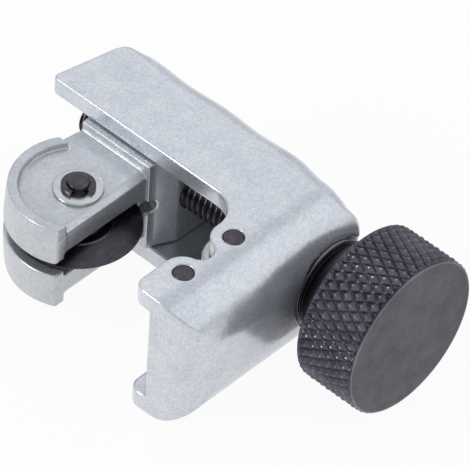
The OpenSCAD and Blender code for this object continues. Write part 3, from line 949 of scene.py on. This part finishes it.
# The washer's dark tone is partly painted shade of the knob's seat
flat_washer("thrust_washer", "knob_washer", SCREW_R + PLAY, X_AXIS, OILED_SHADED_STEEL, "screw",
            THRUST_EDGE)
knurled_knob()
plated_ring()


# Camera, solved from the knob's rim, the pins and the body's square edges: its place, the way it
# looks and its roll, then its sensor in millimetres, its focal length and the photograph's width in
# pixels, and how far it sees in metres
EYE = Vector((380.15, -438.26, 584.49)) * MM
VIEW_DIRECTION = Vector((-0.46404, 0.54237, -0.70036))
ROLL = math.radians(4.033)
SENSOR = 36.0
FOCAL_PX = 6049.6
PHOTO_PX = 470
VIEW_DEPTH = 10


def photo_camera():
    """Camera at the photograph's angle: a long lens, rolled a little about its view."""
    data = bpy.data.cameras.new("camera")
    data.sensor_width = SENSOR
    data.lens = SENSOR * FOCAL_PX / PHOTO_PX
    data.clip_end = VIEW_DEPTH
    camera = bpy.data.objects.new("camera", data)
    level = VIEW_DIRECTION.to_track_quat("-Z", "Y").to_matrix()
    camera.matrix_world = Matrix.Translation(EYE) @ (level @ Matrix.Rotation(ROLL, 3, "Z")).to_4x4()
    bpy.context.scene.collection.objects.link(camera)
    bpy.context.scene.camera = camera


photo_camera()


# Floor, world and lamps: half the floor's side in metres, the share of full white at which the
# eye sees it, and the point in millimetres that the lamps look at
FLOOR_HALF = 2.0
FLOOR_WHITE = 0.94
PAPER_ROUGHNESS = 0.9
WORLD_STRENGTH = 0.8
LAMP_AIM = (0, 0, 10)


def white_paper():
    """White paper: the eye and mirrors see it mostly at full white, so that it stays pale but keeps
    the object's soft shadow, and it sends the object only the light that falls on it."""
    material = bpy.data.materials.new("white_paper_floor")
    material.use_nodes = True
    tree = material.node_tree
    shader = tree.nodes["Principled BSDF"]
    shader.inputs["Base Color"].default_value = srgb("EBEBEC")
    shader.inputs["Roughness"].default_value = PAPER_ROUGHNESS
    path = add_node(tree, "ShaderNodeLightPath").outputs
    seen = add_node(tree, "ShaderNodeMath", {"operation": "MAXIMUM"}, {
        0: path["Is Camera Ray"], 1: path["Is Glossy Ray"]})
    seen = add_node(tree, "ShaderNodeMath", {"operation": "MAXIMUM"}, {
        0: seen.outputs[0], 1: path["Is Transmission Ray"]})
    share = add_node(tree, "ShaderNodeMath", {"operation": "MULTIPLY"}, {
        0: seen.outputs[0], 1: FLOOR_WHITE})
    white = add_node(tree, "ShaderNodeEmission", None, {"Color": srgb("FFFFFF"), "Strength": 1.0})
    mix = add_node(tree, "ShaderNodeMixShader", None, {
        0: share.outputs[0], 1: shader.outputs[0], 2: white.outputs[0]})
    tree.links.new(mix.outputs[0], tree.nodes["Material Output"].inputs["Surface"])
    return material


def white_floor():
    """Plain square floor of white paper."""
    signs = ((-1, -1), (1, -1), (1, 1), (-1, 1))
    mesh = bpy.data.meshes.new("floor")
    mesh.from_pydata([(a * FLOOR_HALF, b * FLOOR_HALF, 0) for a, b in signs], [], [(0, 1, 2, 3)])
    mesh.materials.append(white_paper())
    floor = bpy.data.objects.new("floor", mesh)
    bpy.context.scene.collection.objects.link(floor)


def studio_world():
    """Even pale surroundings."""
    world = bpy.data.worlds.new("studio")
    bpy.context.scene.world = world
    world.use_nodes = True
    background = world.node_tree.nodes["Background"]
    background.inputs["Color"].default_value = srgb("F2F5FA")
    background.inputs["Strength"].default_value = WORLD_STRENGTH


def soft_box(name, place_mm, width_mm, watts):
    """Square soft lamp that looks from its place to the object."""
    data = bpy.data.lights.new(name, "AREA")
    data.shape = "SQUARE"
    data.size = width_mm * MM
    data.energy = watts
    lamp = bpy.data.objects.new(name, data)
    lamp.location = Vector(place_mm) * MM
    line = Vector(LAMP_AIM) - Vector(place_mm)
    lamp.rotation_euler = line.to_track_quat("-Z", "Y").to_euler()
    bpy.context.scene.collection.objects.link(lamp)


white_floor()
studio_world()
soft_box("key_lamp", place_mm=(330, 330, 380), width_mm=500, watts=0.3)
soft_box("back_lamp", place_mm=(-300, 250, 500), width_mm=300, watts=0.08)
soft_box("fill_lamp", place_mm=(-230, -450, 300), width_mm=130, watts=0.9)

bpy.context.scene.view_settings.view_transform = "Standard"

bpy.context.view_layer.update()
